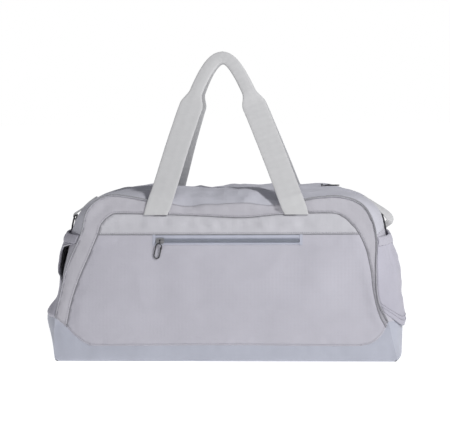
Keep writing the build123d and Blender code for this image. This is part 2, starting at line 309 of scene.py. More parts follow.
def face_folds(x, z, front, on_cap):
    """Folds of a face's cloth in mm, with pleats in the gathered strip over the pocket zip."""
    seed = 0 if front else 20
    soft = 4.2 * rough(x, seed * 0.1, z, 0.15, seed) + 1.9 * rough(x, 0, z, 0.07, seed + 2)
    soft += 1.5 * creases(x, z, 0, 0.08, seed + 4) * smooth(0.03, 0.09, z)
    if z > ZIP_SEAM:
        pleats = rough(x + 0.35 * z, 0, z * 0.25, 0.016, seed + 8)
        gathered = smooth(0.17, 0.10, abs(x)) * (0.5 + 0.5 * smooth(-0.05, 0.03, x))
        soft += (1.5 * creases(x, 0, z * 1.4, 0.035, seed + 8) + 5.0 * pleats) * gathered
        soft += pleats
    return soft * 0.55 if on_cap else soft


def face_point(x, z, front, lift=0.0):
    """Point of the front or back face, with its bulge, folds and pinched seams. z is the height."""
    near = (SEAMS_FRONT if front else SEAMS_BACK).find((x, z, 0))[2]
    rim = RIM.find((x, z, 0))[2]
    on_cap = z < height_on(CAP_EDGE, x)
    pressed, clear = 0.0, 1.0
    if front:
        px, pz = PULLER_AT
        pressed = exp(-((x - px) / 0.026) ** 2 - ((z - pz) / 0.022) ** 2)
        clear -= smooth(26 * MM, 8 * MM, abs(z - ZIP_V)) * smooth(0.15, 0.125, abs(x - 4 * MM))
    clear *= 1 - pressed
    between_legs = smooth(0.10, 0.08, abs(x)) * smooth(0.232, 0.238, z)
    bulge = face_bulge(x, z, front, rim, pressed)
    folds = face_folds(x, z, front, on_cap) + between_legs * 2.0 * creases(x * 0.7, 0, z, 0.045, 7)
    folds *= smooth(0, 20 * MM, near)
    seed = 6 if front else 26
    pucker = 1.1 * rough(x, 0, z, 0.011, seed) * smooth(24 * MM, 3 * MM, near) * smooth(0, 3 * MM, near)
    pinch = exp(-(near / (3.5 * MM)) ** 2) * (1 - between_legs)
    if on_cap:
        pinch *= smooth(0, 8 * MM, rim)
    out = (bulge + folds * clear + pucker * clear - pinch * clear) * MM + lift
    turn = tuck(z)
    side = -1.0 if front else 1.0
    across = 1 - turn / 0.27 * smooth(0.18, 0.27, abs(x))
    p = Vector((x * across, side * (face_depth(z) + out - turn), z))
    return crumple(p) if z > 0.229 else p


def face_lines(front):
    """The lines that a face is cut along. The first is its outline."""
    lines = [OUTLINE, CAP_EDGE[1:-1]]
    if front:
        x0, x1, z0, z1 = SLOT
        lines += [ARCH, ZIP_LINE, [(x0, z1), (x0, z0), (x1, z0), (x1, z1)]]
    return [dense(line, 5 * MM) for line in lines]


def panel_at(front, x, z):
    """Name of the panel at a point of the face, or None where there is no cloth."""
    if not inside((x, z), OUTLINE):
        return None
    if z < height_on(CAP_EDGE, x):
        return "cap"
    if not front:
        return "panel"
    if SLOT[0] < x < SLOT[1] and SLOT[2] < z < SLOT[3]:
        return None
    if inside((x, z), ARCH_LOOP):
        return "yoke" if z > ZIP_SEAM else "panel"
    return "border"


def face_parts(front):
    """Cuts a face along its seams. Returns its vertices, and the triangles of each panel by name."""
    points, edges = [], []
    for line in face_lines(front):
        start = len(points)
        points.extend(Vector(p) for p in line)
        edges.extend((i, i + 1) for i in range(start, len(points) - 1))
        if start == 0:
            edges.append((len(points) - 1, start))
    step = 4 * MM
    tree = SEAMS_FRONT if front else SEAMS_BACK
    for i in range(-68, 69):
        for j in range(1, 65):
            x, z = i * step + (j % 2) * step / 2, j * step * (0.6 if j < 5 else 1.0)
            if inside((x, z), OUTLINE) and tree.find((x, z, 0))[2] > 2 * MM:
                points.append(Vector((x, z)))
    verts, _, faces, *_ = delaunay_2d_cdt(points, edges, [], 1, 1e-6)
    groups = {}
    for face in faces:
        x = sum(verts[i].x for i in face) / len(face)
        z = sum(verts[i].y for i in face) / len(face)
        key = panel_at(front, x, z)
        if key:
            groups.setdefault(key, []).append(list(face))
    return verts, groups


# ---- making objects ----
def new_object(name, verts, faces, material, shade=True):
    mesh = bpy.data.meshes.new(name)
    mesh.from_pydata([tuple(v) for v in verts], [], faces)
    mesh.validate()
    mesh.update()
    obj = bpy.data.objects.new(name, mesh)
    bpy.context.scene.collection.objects.link(obj)
    mesh.materials.append(material)
    if shade:
        mesh.shade_smooth()
    return obj


def used_only(verts, faces):
    """Drops the vertices that no face uses."""
    index, out = {}, []
    for face in faces:
        for i in face:
            if i not in index:
                index[i] = len(out)
                out.append(verts[i])
    return out, [[index[i] for i in face] for face in faces]


def grid_faces(rows, cols, flip=False):
    faces = []
    for i in range(rows - 1):
        for j in range(cols - 1):
            a = i * cols + j
            quad = (a, a + 1, a + cols + 1, a + cols)
            faces.append(quad[::-1] if flip else quad)
    return faces


def thick(obj, amount=1.2 * MM):
    mod = obj.modifiers.new("cloth", "SOLIDIFY")
    mod.thickness = amount
    mod.offset = -1
    return obj


def tube(name, path, radius, material, sides=8, closed=False, thin=None):
    """Round bar along a list of points. thin gives the part of the radius to use at a point."""
    verts, faces = [], []
    count = len(path)
    up = Vector((0, 0, 1))
    for i, p in enumerate(path):
        ahead = path[(i + 1) % count] if closed else path[min(i + 1, count - 1)]
        behind = path[i - 1] if closed or i else path[0]
        tangent = (ahead - behind).normalized()
        side = tangent.cross(up)
        if side.length < 0.05:
            side = tangent.cross(Vector((0, 1, 0)))
        side.normalize()
        over = side.cross(tangent).normalized()
        r = radius * (thin(p) if thin else 1.0)
        for k in range(sides):
            a = 2 * pi * k / sides
            verts.append(p + side * cos(a) * r + over * sin(a) * r)
    rings = count if closed else count - 1
    for i in range(rings):
        for k in range(sides):
            a, b = i * sides + k, i * sides + (k + 1) % sides
            c, d = ((i + 1) % count) * sides + (k + 1) % sides, ((i + 1) % count) * sides + k
            faces.append((a, b, c, d))
    if not closed:
        faces.append(tuple(range(sides))[::-1])
        faces.append(tuple((count - 1) * sides + k for k in range(sides)))
    return new_object(name, verts, faces, material)


def ribbon(name, stations, material):
    """Webbing. Each station is (point, across, out, width, thickness); the surface has UVs in metres."""
    verts, faces, uvs = [], [], []
    around, length = 20, 0.0
    for i, (p, across, out, width, thickness) in enumerate(stations):
        if i:
            length += (p - stations[i - 1][0]).length
        for k in range(around):
            a = 2 * pi * k / around
            c, s = cos(a), sin(a)
            u = (abs(c) ** 0.35) * (1 if c > 0 else -1) * width / 2
            w = (abs(s) ** 0.7) * (1 if s > 0 else -1) * thickness / 2
            verts.append(p + across * u + out * w)
            uvs.append((u, length))
    for i in range(len(stations) - 1):
        for k in range(around):
            faces.append((i * around + k, i * around + (k + 1) % around,
                          (i + 1) * around + (k + 1) % around, (i + 1) * around + k))
    faces.append(tuple(range(around))[::-1])
    faces.append(tuple((len(stations) - 1) * around + k for k in range(around)))
    obj = new_object(name, verts, faces, material)
    layer = obj.data.uv_layers.new(name="UVMap")
    for loop in obj.data.loops:
        layer.data[loop.index].uv = uvs[loop.vertex_index]
    return obj


# ---- materials ----
def material(name, color, rough_value, metallic=0.0):
    mat = bpy.data.materials.new(name)
    mat.use_nodes = True
    bsdf = mat.node_tree.nodes["Principled BSDF"]
    bsdf.inputs["Base Color"].default_value = (*color, 1)
    bsdf.inputs["Roughness"].default_value = rough_value
    bsdf.inputs["Metallic"].default_value = metallic
    return mat, mat.node_tree.nodes, mat.node_tree.links, bsdf


def add_node(nodes, kind, **values):
    """New shader node. Each value is one of its settings, or else one of its inputs."""
    node = nodes.new(kind)
    for key, value in values.items():
        if hasattr(node, key):
            setattr(node, key, value)
        else:
            node.inputs[key].default_value = value
    return node


def add_wave(nodes, links, vector, direction, pitch, **values):
    """Parallel threads a pitch apart, in metres."""
    wave = add_node(nodes, "ShaderNodeTexWave", Scale=0.05 / pitch, bands_direction=direction, **values)
    links.new(vector, wave.inputs["Vector"])
    return wave.outputs["Fac"]


def add_noise(nodes, links, vector, **values):
    grain = add_node(nodes, "ShaderNodeTexNoise", **values)
    links.new(vector, grain.inputs["Vector"])
    return grain.outputs["Fac"]


def add_up(nodes, links, outputs):
    total = outputs[0]
    for output in outputs[1:]:
        both = add_node(nodes, "ShaderNodeMath", operation="ADD")
        links.new(total, both.inputs[0])
        links.new(output, both.inputs[1])
        total = both.outputs[0]
    return total


def add_bump(nodes, links, bsdf, height, strength, distance):
    bump = add_node(nodes, "ShaderNodeBump", Strength=strength, Distance=distance)
    links.new(height, bump.inputs["Height"])
    links.new(bump.outputs["Normal"], bsdf.inputs["Normal"])


def add_clouds(nodes, links, bsdf, fac, color, shades, stops):
    """Faint clouding of the colour, from a darker shade at the first stop to a lighter at the second."""
    ramp = nodes.new("ShaderNodeValToRGB")
    for element, shade, stop in zip(ramp.color_ramp.elements, shades, stops):
        element.position = stop
        element.color = (*(min(1, c * shade) for c in color), 1)
    links.new(fac, ramp.inputs["Fac"])
    links.new(ramp.outputs["Color"], bsdf.inputs["Base Color"])


def cloth(name, color, vary=0.05, weave=0.0009, depth=0.25, rough_value=0.85, sheen=0.15):
    """Plain-woven cloth: crossed threads as bump, with faint clouding of the colour."""
    mat, nodes, links, bsdf = material(name, color, rough_value)
    bsdf.inputs["Sheen Weight"].default_value = sheen
    bsdf.inputs["Sheen Roughness"].default_value = 0.5
    bsdf.inputs["Specular IOR Level"].default_value = 0.25
    place = nodes.new("ShaderNodeTexCoord").outputs["Object"]
    clouds = add_noise(nodes, links, place, Scale=22.0, Detail=5.0, Roughness=0.6)
    add_clouds(nodes, links, bsdf, clouds, color, (1 - vary, 1 + vary), (0.3, 0.7))
    heights = [add_wave(nodes, links, place, way, weave, Distortion=0.4, Detail=1.0) for way in "XZY"]
    heights.append(add_noise(nodes, links, place, Scale=260.0, Detail=3.0))
    add_bump(nodes, links, bsdf, add_up(nodes, links, heights), depth, 0.0002)
    return mat


def webbing(name, color):
    """Ribbed webbing: short ribs across the strap and lanes along it, on UVs in metres."""
    mat, nodes, links, bsdf = material(name, color, 0.8)
    bsdf.inputs["Sheen Weight"].default_value = 0.2
    bsdf.inputs["Specular IOR Level"].default_value = 0.25
    coord = nodes.new("ShaderNodeTexCoord")
    ribs = add_wave(nodes, links, coord.outputs["UV"], "Y", 0.0016, Distortion=0.8, Detail=1.0)
    lanes = add_wave(nodes, links, coord.outputs["UV"], "X", 0.0024, Distortion=0.3)
    add_bump(nodes, links, bsdf, add_up(nodes, links, [ribs, lanes]), 0.5, 0.0003)
    clouds = add_noise(nodes, links, coord.outputs["Object"], Scale=90.0, Detail=4.0)
    add_clouds(nodes, links, bsdf, clouds, color, (0.94, 1.05), (0.0, 1.0))
    return mat


def metal(name, color, rough_value):
    mat, nodes, links, bsdf = material(name, color, rough_value, 1.0)
    place = nodes.new("ShaderNodeTexCoord").outputs["Object"]
    wear = add_noise(nodes, links, place, Scale=400.0, Detail=4.0)
    add_bump(nodes, links, bsdf, wear, 0.15, 0.0001)
    return mat


SHELL = cloth("shell_cloth", (0.50, 0.49, 0.545), vary=0.035)
# Painted light: the top is the shell's own fabric, made lighter for the light that falls on its upper
# side.
TOP_CLOTH_PAINTED_LIGHTER = cloth("top_cloth", (0.535, 0.535, 0.59), vary=0.04)
YOKE = cloth("yoke_cloth", (0.54, 0.535, 0.57), vary=0.035)
POCKET_INSIDE = cloth("pocket_inside_cloth", (0.62, 0.62, 0.64))
POCKET = cloth("pocket_cloth", (0.46, 0.45, 0.515), vary=0.05)
BAND = cloth("border_cloth", (0.475, 0.465, 0.505), vary=0.04)
# The piping cord is real, but its dark colour is partly painted shade of the gap in the seam beside it.
PIPE_WITH_PAINTED_SHADE = cloth("piping_cloth_darkened_as_seam_shade", (0.30, 0.30, 0.32), weave=0.0006)
# Dark line in the seams: thread, with painted shade of the seam's gap in its dark colour.
SEAM_THREAD_AND_SHADE = cloth("seam_thread_and_painted_shade", (0.25, 0.25, 0.27), weave=0.0006)
COATED = cloth("coated_cloth", (0.455, 0.47, 0.54), vary=0.04, depth=0.1, rough_value=0.55, sheen=0.05)
WEBBING = webbing("webbing", (0.565, 0.565, 0.57))
ELASTIC = webbing("elastic", (0.47, 0.46, 0.52))
TAPE = cloth("zip_tape", (0.47, 0.485, 0.565), weave=0.0006)
COIL = cloth("zip_coil", (0.31, 0.33, 0.39), weave=0.0005, rough_value=0.45)
THREAD = cloth("thread", (0.42, 0.41, 0.46), weave=0.0005)
LINING = cloth("lining", (0.33, 0.33, 0.36))
BOARD = cloth("board", (0.10, 0.10, 0.11), rough_value=0.6)
ZINC = metal("zinc", (0.42, 0.42, 0.43), 0.36)
GUNMETAL = metal("gunmetal", (0.10, 0.10, 0.105), 0.35)


# ---- the panels ----
def make_faces():
    """Both faces' panels. Returns their parts of the base cap, which is made in one piece."""
    looks = {"panel": SHELL, "yoke": YOKE, "border": BAND}
    cap_meshes = []
    for front, where in ((True, "front"), (False, "back")):
        verts, groups = face_parts(front)
        points = [face_point(v.x, v.y, front) for v in verts]
        for key, faces in groups.items():
            if not front:
                faces = [f[::-1] for f in faces]
            v, f = used_only(points, faces)
            if key == "cap":
                cap_meshes.append((v, f))
                continue
            obj = thick(new_object(f"{where}_{key}_cloth", v, f, looks[key]))
            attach(obj, "bag")
            if front:
                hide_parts(f"front_{key}")
            else:
                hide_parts("back_panel", "back_border")
    return cap_meshes


def gusset_grid(side, t0, t1, rows, cols):
    """The whole width of the strip between two stations, in finer rows next to the floor."""
    points = []
    for i in range(rows):
        f = i / (rows - 1)
        t = t0 + (t1 - t0) * (f * f if t0 == 0 else f)
        for j in range(cols):
            points.append(gusset(side, t, -1 + 2 * j / (cols - 1)))
    return points, grid_faces(rows, cols, flip=side < 0)


def make_base(cap_meshes):
    verts, faces = [], []
    for side in (1, -1):
        cap_meshes.append(gusset_grid(side, 0.0, CAP_T, 18, 60))
    for v, f in cap_meshes:
        start = len(verts)
        verts += v
        faces += [[i + start for i in face] for face in f]
    # the flat underside closes the lowest rows of the two ends
    rim = [gusset(1, 0, -1 + 2 * j / 59) for j in range(60)]
    rim += [gusset(-1, 0, 1 - 2 * j / 59) for j in range(60)]
    start = len(verts)
    verts += rim
    faces.append([start + k for k in range(len(rim))][::-1])
    base = new_object("base_cap_cloth", verts, faces, COATED)
    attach(base, "bag")
    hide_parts("base_cap")


def make_ends():
    for side, name in SIDES:
        v, f = gusset_grid(side, CAP_T, END_T, 40, 70)
        end = thick(new_object(f"{name}_end_cloth", v, f, SHELL))
        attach(end, "bag")
        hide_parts(f"{name}_end_panel")


def flap_blend(obj):
    """Bakes the cloth's placement into its mesh."""
    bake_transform(obj)


def zip_s(t):
    """Where the edge of the cloth runs beside the main zip, from 0 at the zip to 1 at the seam."""
    return ZIP_EDGE / face_depth(catmull(SEAM[1], t)[1])


def top_grid(side, half):
    """A quarter of the top, from its end seam to a little past the middle, to lap its neighbour."""
    points = []
    rows, cols = 130, 44
    steps = [(side, END_T + (TOP_T - END_T) * i / (rows - 1), 0.0) for i in range(rows)]
    steps.append((-side, TOP_T - 0.11, -0.25 * MM))
    for at_side, t, lap in steps:
        inner = zip_s(t) * smooth(END_T + 0.25, END_T + 0.5, t)
        for j in range(cols):
            s = half * (1 + (inner - 1) * j / (cols - 1))
            points.append(gusset(at_side, t, s, lap))
    return points, grid_faces(rows + 1, cols, flip=(side * half > 0))


def make_tops():
    for side, end in SIDES:
        for half, where in HALVES:
            points, faces = top_grid(side, half)
            # The tops use the shell cloth painted lighter, for the light on the upper side.
            top = thick(new_object(f"{end}_{where}_top_cloth", points, faces, TOP_CLOTH_PAINTED_LIGHTER))
            flap_blend(top)
            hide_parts(f"{where}_flap", f"{end}_top_end")


def piping_thickness(p):
    """The piping is nearly buried between the handles' legs, and thinner low on the ends."""
    outside_legs = smooth(0.080, 0.105, abs(p.x))
    return 0.1 + (0.6 + 0.3 * smooth(0.19, 0.21, p.z)) * outside_legs


def make_piping():
    count = 110
    steps = [CAP_T + (TOP_T - CAP_T) * i / count for i in range(count + 1)]
    along = [(1, t) for t in steps] + [(-1, t) for t in steps[-2::-1]]
    for half, where in HALVES:
        path = []
        for side, t in along:
            x, z = catmull(SEAM[side], t)
            path.append(crumple(Vector((side * x, half * (face_depth(z) + 0.6 * MM), z + 0.3 * MM))))
        # Piping in the dark colour that paints the seam gap's shade.
        pipe = tube(f"{where}_piping_cord", path, 1.15 * MM, PIPE_WITH_PAINTED_SHADE, thin=piping_thickness)
        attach(pipe, "bag")
        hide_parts(f"{where}_piping")


def make_seam_lines():
    """The dark line in the bottom of each seam of the front face: the seam's thread, darkened as painted
    shade of the seam's gap.
    """
    left, right = ZIP_LINE
    lines = [("arch", ARCH), ("zip_seam_left", [left, (SLOT[0], ZIP_SEAM)]),
             ("zip_seam", [(SLOT[0], ZIP_SEAM), (SLOT[1], ZIP_SEAM)]),
             ("zip_seam_right", [(SLOT[1], ZIP_SEAM), right])]
    for name, line in lines:
        path = [face_point(x, z, True, 0.15 * MM) for x, z in dense(line, 3 * MM)]
        seam = tube(f"{name}_line", path, 0.45 * MM, SEAM_THREAD_AND_SHADE, sides=6)
        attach(seam, "bag")
        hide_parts("front_border", "front_yoke", "front_panel")


# ---- stitches ----
STITCH_PITCH, STITCH_R = 3.4 * MM, 0.35 * MM


def spaced(path, pitch):
    """Points a pitch apart along a path, each with the path's direction."""
    run, last = 0.0, path[0]
    spots = []
    for p in path[1:]:
        seg = p - last
        length = seg.length
        while run <= length and length > 0:
            spots.append((last + seg * (run / length), seg.normalized()))
            run += pitch
        run -= length
        last = p
    return spots


def stitches(name, path, out):
    """A run of short three-sided stitches along a list of surface points, raised in the middle."""
    verts, faces = [], []
    for p, d in spaced(path, STITCH_PITCH):
        side = d.cross(out).normalized() * STITCH_R
        up = out * STITCH_R
        a, b = p, p + d * STITCH_PITCH * 0.62
        start = len(verts)
        for q, lift in ((a, 0.2), (a + (b - a) * 0.5, 1.3), (b, 0.2)):
            verts += [q - side + up * lift, q + side + up * lift, q + up * (lift + 1.0)]
        for s in (start, start + 3):
            faces += [(s, s + 3, s + 5, s + 2), (s + 1, s + 2, s + 5, s + 4), (s, s + 1, s + 4, s + 3)]
        faces += [(start, start + 2, start + 1), (start + 6, start + 7, start + 8)]
    obj = new_object(name, verts, faces, THREAD)
    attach(obj, "bag")


def beside(line, shift):
    """Points of the front face along a seam line, moved sideways by a distance."""
    line = dense(line, 4 * MM)
    points = []
    for i, (x, z) in enumerate(line):
        x0, z0 = line[max(i - 1, 0)]
        x1, z1 = line[min(i + 1, len(line) - 1)]
        size = hypot(x1 - x0, z1 - z0) or 1
        nx, nz = (z1 - z0) / size, -(x1 - x0) / size
        points.append(face_point(x + nx * shift, z + nz * shift, True, 0.1 * MM))
    return points


def make_stitches():
    out = Vector((0, -1, 0))
    stitches("arch_stitching", beside(ARCH, -3 * MM), out)
    stitches("zip_seam_stitching", beside(ZIP_LINE, -2.5 * MM), out)
    stitches("cap_stitching", beside(CAP_EDGE, -2.5 * MM), out)


# ---- pocket zip ----
def front_plane(u, v, w):
    """Point in the front face's own frame: u along the bag, v a height, w out of the face."""
    return Vector((u, -face_depth(v) - w * cos(LEAN_ANGLE), v + w * sin(LEAN_ANGLE)))


def box_mesh(verts, faces, corners):
    start = len(verts)
    verts += corners
    for quad in ((0, 1, 2, 3), (7, 6, 5, 4), (0, 4, 5, 1), (1, 5, 6, 2), (2, 6, 7, 3), (3, 7, 4, 0)):
        faces.append([start + k for k in quad])


def coil(name, spots, material):
    """Teeth of one half of a coil zip. Each spot is (point, along, toward the other half, out)."""
    verts, faces = [], []
    half, tall, reach = 0.42 * MM, 0.9 * MM, 2.7 * MM
    for p, along, toward, out in spots:
        corners = []
        for w in (-tall, tall):
            for a, b in ((-1, 0), (1, 0), (1, 1), (-1, 1)):
                tip = toward * (reach * b) + along * (a * half * (1.0 - 0.25 * b))
                corners.append(p + tip + out * (w * (0.8 if b else 1.0)))
        box_mesh(verts, faces, corners)
    return new_object(name, verts, faces, material, shade=False)


def make_pocket_tapes():
    x0, x1, z0, z1 = SLOT
    strips = (("upper", ZIP_V + 1.6 * MM, z1 + 1 * MM), ("lower", z0 - 1 * MM, ZIP_V - 1.6 * MM))
    cols = 80
    for name, low, high in strips:
        verts = []
        for v, w in ((low, -0.2), (low + (high - low) * 0.5, 0.0), (high, -0.5)):
            for k in range(cols):
                x = x0 - 1 * MM + (x1 - x0 + 2 * MM) * k / (cols - 1)
                ripple = 0.25 * rough(x, v, 0, 0.015, 2)
                verts.append(front_plane(x, v, (w + ripple + 0.1) * MM))
        tape = thick(new_object(f"pocket_zip_{name}_tape", verts, grid_faces(3, cols), TAPE), 0.6 * MM)
        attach(tape, "bag")
        if name == "upper":
            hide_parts("pocket_zip_tapes")


def make_pocket_coils():
    x0, x1 = SLOT[:2]
    pitch = 1.25 * MM
    out = (front_plane(0, 0.1, 1) - front_plane(0, 0.1, 0)).normalized()
    up = (front_plane(0, 0.2, 0) - front_plane(0, 0.1, 0)).normalized()
    for toward, name in ((-1, "upper"), (1, "lower")):
        spots = []
        x = x0 + 1.5 * MM + (pitch / 2 if toward > 0 else 0)
        while x < x1 - 2 * MM:
            p = front_plane(x, ZIP_V - toward * 2.5 * MM, 0.2 * MM)
            spots.append((p, Vector((1, 0, 0)), up * toward, out))
            x += pitch
        teeth = coil(f"pocket_zip_{name}_coil", spots, COIL)
        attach(teeth, "bag")
        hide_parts(f"pocket_zip_{name}_chain")


def make_pocket_tacks():
    """Bars sewn across the two ends of the pocket zip."""
    x0, x1, z0, z1 = SLOT
    verts, faces = [], []
    for x in (x0 - 1.5 * MM, x1 + 1.5 * MM):
        corners = [front_plane(x + a * 2.2 * MM, v, w) for w in (-1 * MM, 0.6 * MM)
                   for a, v in ((-1, z0 - 1 * MM), (1, z0 - 1 * MM), (1, z1), (-1, z1))]
        box_mesh(verts, faces, corners)
    ends = new_object("pocket_zip_end_tacks", verts, faces, TAPE, shade=False)
    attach(ends, "bag")


# ---- main zip ----
ZIP_T = 5.45    # station where the main zip's tapes begin


def main_tape(side, half):
    rows = 120
    verts = []
    for edge, drop in ((11 * MM, 2.0), (7.0 * MM, 1.7), (2.8 * MM, 1.5)):
        for i in range(rows):
            t = ZIP_T + (TOP_T - ZIP_T) * i / (rows - 1)
            s = half * edge / face_depth(catmull(SEAM[side], t)[1])
            inward = -side * drop * MM * smooth(8.5, 6, t)
            verts.append(gusset_base(side, t, s) + Vector((inward, 0, -drop * MM)))
    return verts, grid_faces(3, rows, flip=side * half > 0)


def main_teeth(side, half):
    """Places for the teeth of one half of the coil, evenly spaced along it."""
    pitch, steps = 1.5 * MM, 4000
    spots = []
    last, want = None, 0.0
    for i in range(steps + 1):
        x, z = catmull(MIDDLE[side], ZIP_T + (TOP_T - ZIP_T) * i / steps)
        p = Vector((side * x, half * 3.3 * MM, z - 1.9 * MM))
        if last is not None:
            want -= (p - last).length
            if want <= 0:
                along = (p - last).normalized()
                out = along.cross(Vector((0, 1, 0)))
                out = out if out.z > 0 else -out
                spots.append((p, along, Vector((0, -half, 0)), out))
                want += pitch
        last = p
    return spots


def end_tab(side):
    """Small piece of webbing over the end of the main zip."""
    verts = []
    for t in (5.30, 5.42, 5.54, 5.66):
        for k in range(9):
            s = (k / 4 - 1) * 11 * MM / face_depth(0.22)
            verts.append(gusset_base(side, t, s) + Vector((side * 1.2 * MM, 0, 0.8 * MM)))
    return verts, grid_faces(4, 9, flip=side < 0)


def make_main_zip():
    for side, end in SIDES:
        for half, where in HALVES:
            tape = new_object(f"{end}_{where}_main_tape", *main_tape(side, half), TAPE)
            thick(tape, 0.6 * MM)
            flap_blend(tape)
            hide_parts(f"{where}_main_tape", f"{end}_zip_end_tapes")
            teeth = coil(f"{end}_{where}_main_coil", main_teeth(side, half), COIL)
            flap_blend(teeth)
            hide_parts(f"{where}_main_chain", f"{end}_zip_end_chains")
        tab = thick(new_object(f"{end}_main_zip_end_tab", *end_tab(side), WEBBING), 1.6 * MM)
        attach(tab, "bag")


# ---- handles ----
ANCHOR = 231 * MM           # height of the seam that the handles are sewn into
BEND = 256 * MM             # the handles lie on the face up to here, then lean in to meet
HANDLE_LEAN = 0.421
APEX_SHIFT = -7 * MM        # the grip hangs a little to the left
LEG = [(109.2, 229), (108.3, 232), (105.5, 240), (102, 250), (98.5, 260), (93.5, 275), (86, 297),
       (78, 320), (70.5, 342), (63, 364), (56, 385), (50, 401), (45.5, 413), (40.5, 425),
       (34, 439), (26.5, 453), (18, 465.5), (9, 474), (0, 477)]


def handle_y(z):
    """Middle of the front handle's thickness."""
    if z < BEND:
        return -face_depth(z) - (1.0 + 2.8 * smooth(ANCHOR, BEND, z)) * MM
    inner = -102.7 * MM + (z - BEND) * HANDLE_LEAN
    return inner - 1.6 * MM


def handle_points(half):
    """Middle of a handle's webbing, from the right leg's foot over the grip to the left leg's foot."""
    fine = polyline_mm(LEG, 5)
    points = []
    for x, z in fine + [(-x, z) for x, z in reversed(fine[:-1])]:
        x += 3.5 * MM * smooth(0.34, 0.23, z) * (1 if x > 0 else 0)
        shift = APEX_SHIFT * smooth(0.25, 0.47, z)
        bow = 1.5 * MM * sin(pi * smooth(BEND, 0.41, z)) * (1 if x > 0 else -1)
        points.append(Vector((x + shift + bow, half * -handle_y(z), z)))
    return points


def handle_station(half, p, tangent):
    """Cross-section of a handle at a point: flat and wide on the legs, folded narrow at the grip."""
    z = p.z
    if z < BEND - 3 * MM:
        slope = LEAN
    else:
        slope = LEAN + (HANDLE_LEAN - LEAN) * smooth(BEND - 3 * MM, BEND + 8 * MM, z)
    out = Vector((0, half, slope)).normalized()
    across = tangent.cross(out).normalized()
    out = across.cross(tangent).normalized()
    if out.y * half < 0:
        out, across = -out, -across
    level = Vector((1 if across.x > 0 else -1, 0, 0))
    across = across.lerp(level, smooth(0.246, ANCHOR, z)).normalized()
    fold = smooth(0.400, 0.422, z)
    width = (38 - 17.0 * fold) * MM
    thickness = (2.2 + 4.6 * fold) * MM
    return p + out * 2.2 * MM * fold, across, out, width, thickness


def make_handles():
    for half, where in HALVES:
        points = handle_points(half)
        stations = []
        for i, p in enumerate(points):
            tangent = (points[min(i + 1, len(points) - 1)] - points[max(i - 1, 0)]).normalized()
            stations.append(handle_station(half, p, tangent))
        handle = ribbon(f"{where}_handle_strap", stations, WEBBING)
        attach(handle, f"{where}_handle")
        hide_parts(f"{where}_handle_webbing", f"{where}_handle_grip")


# ---- side pockets ----
# How far the pocket's cloth stands off the end: (height, distance) in mm.
POCKET_OFF = {
    1: [(44, 2), (54, 5), (75, 4), (93, 6), (114, 10.5), (135, 13), (152, 11.5), (176, 8), (192, 6)],
    -1: [(66, 0.5), (95, 0.5), (112, 2), (125, 4), (150, 10), (167, 12), (184, 10), (198, 6)],
}
BAND_Z = {1: (179, 193), -1: (184, 198)}    # the elastic band's lower and upper edge, in mm


def pocket_off(side, z):
    """How far the pocket's cloth stands off the end, by height."""
    table = POCKET_OFF[side]
    for (z0, a), (z1, b) in zip(table, table[1:]):
        if z <= z1 * MM:
            return (a + (b - a) * smooth(z0 * MM, z1 * MM, z)) * MM
    return table[-1][1] * MM


def t_at(side, z, a):
    """Station where the end is at a height, a of the way round it."""
    low, high = 0.0, END_T + 1.0
    for _ in range(14):
        mid = (low + high) / 2
        if gusset_base(side, mid, a).z < z:
            low = mid
        else:
            high = mid
    return low


def gape(side, z):
    """The left pocket's front edge hangs open from this height up."""
    return smooth(0.118, 0.142, z) * smooth(0.186, 0.176, z) if side < 0 else 0.0


def pocket_foot(side, f):
    """Height of the pocket's lower edge in mm: the right one rises towards its front and back."""
    return 46 + 30 * abs(2 * f - 1) ** 5 if side > 0 else 70


def pocket_surface(side, f, z, extra):
    """Point of the pocket's cloth. f runs from 0 at its front edge to 1 at its back edge."""
    pulled_back = 0.26 * gape(side, z)
    a = -1 + pulled_back + f * (2 - pulled_back)
    base = gusset_base(side, t_at(side, z, a * 0.985), a * 0.985)
    bow = 1 - abs(a) ** 2.4
    stand = pocket_off(side, z) * max(bow, 0.85 * gape(side, z) * (1 - f) ** 0.3)
    gather = smooth(0.10, 0.17, z)
    ripple = gather * 1.1 * sin(a * 46 + 3 * rough(a, z, 0, 0.2, 3)) * (1 - abs(a) ** 4)
    soft = 2.2 * rough(a * 0.1, z, side, 0.045, 5) + 1.6 * creases(a * 0.1, z, side, 0.04, 2)
    soft *= (1 - abs(a) ** 6) * smooth(44 * MM, 70 * MM, z) * (1 - smooth(0.165, 0.176, z))
    if side < 0:
        soft *= 0.4 + 0.6 * smooth(0.11, 0.14, z)
    return base + Vector((side * (stand + (ripple + soft) * MM + 1.0 * MM + extra), 0, 0))


def pocket_grid(side, z0, z1, rows, cols, stand):
    """The pocket between two heights in mm. stand is how far it stands out at a level from 0 to 1."""
    verts = []
    for i in range(rows):
        level = i / (rows - 1)
        for j in range(cols):
            f = j / (cols - 1)
            low = max(z0, pocket_foot(side, f))
            verts.append(pocket_surface(side, f, (low + (z1 - low) * level) * MM, stand(level)))
    return verts, grid_faces(rows, cols, side < 0)


def pocket_hems(side):
    """Lines of (f, height in mm): two rows of stitching at the right foot, and the left's open edge."""
    if side > 0:
        return [[(k / 60, pocket_foot(side, k / 60) + up) for k in range(61)] for up in (15, 9)]
    return [[(0.004, 126 + 56 * k / 30) for k in range(31)]]


def make_pocket_cloth(side, name):
    low, high = BAND_Z[side]
    verts, faces = pocket_grid(side, 44, low + 1, 44, 90, lambda level: 0.0)
    pouch = thick(new_object(f"{name}_side_pocket_cloth", verts, faces, POCKET))
    verts, faces = pocket_grid(side, 60, low, 30, 50, lambda level: -1.9 * MM)
    faces = [f[::-1] for f in faces]
    inner = new_object(f"{name}_pocket_inside_cloth", verts, faces, POCKET_INSIDE)
    for obj in (pouch, inner):
        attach(obj, "bag")
        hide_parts(f"{name}_side_pocket")
    verts, faces = pocket_grid(side, low, high, 9, 90, lambda level: (0.6 + 1.2 * sin(pi * level)) * MM)
    band = thick(new_object(f"{name}_pocket_elastic", verts, faces, ELASTIC), 2.2 * MM)
    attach(band, "bag")
    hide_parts(f"{name}_pocket_band")


